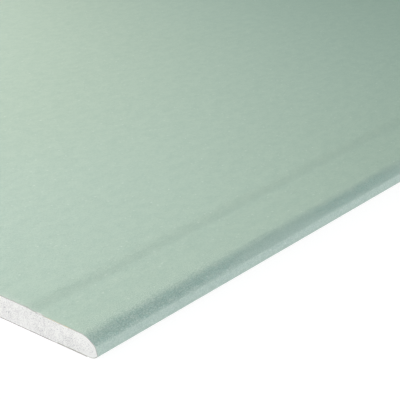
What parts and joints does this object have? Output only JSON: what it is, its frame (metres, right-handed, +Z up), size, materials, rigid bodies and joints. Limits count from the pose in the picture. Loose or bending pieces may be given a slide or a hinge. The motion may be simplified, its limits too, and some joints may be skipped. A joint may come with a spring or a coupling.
{
  "type": "drywall sheet",
  "caption": "Moisture-resistant plasterboard sheet: white gypsum core, pale green face paper folded round half-round tapered long edges, grey back paper, square-cut ends.",
  "frame": {"origin": "middle of the back paper's flat outer side, the side that rests on the floor", "axes": "+X along the sheet, +Y across it, +Z up from the back to the face"},
  "size_m": [2.5, 1.2, 0.0125],
  "materials": {
    "gypsum": "chalky set plaster with fine pores",
    "face_paper": "matt pale green liner paper",
    "back_paper": "matt grey-brown recycled liner paper"
  },
  "bodies": {
    "root": {"gypsum_core": "gypsum", "face_paper": "face_paper", "back_paper": "back_paper"}
  },
  "joints": []
}
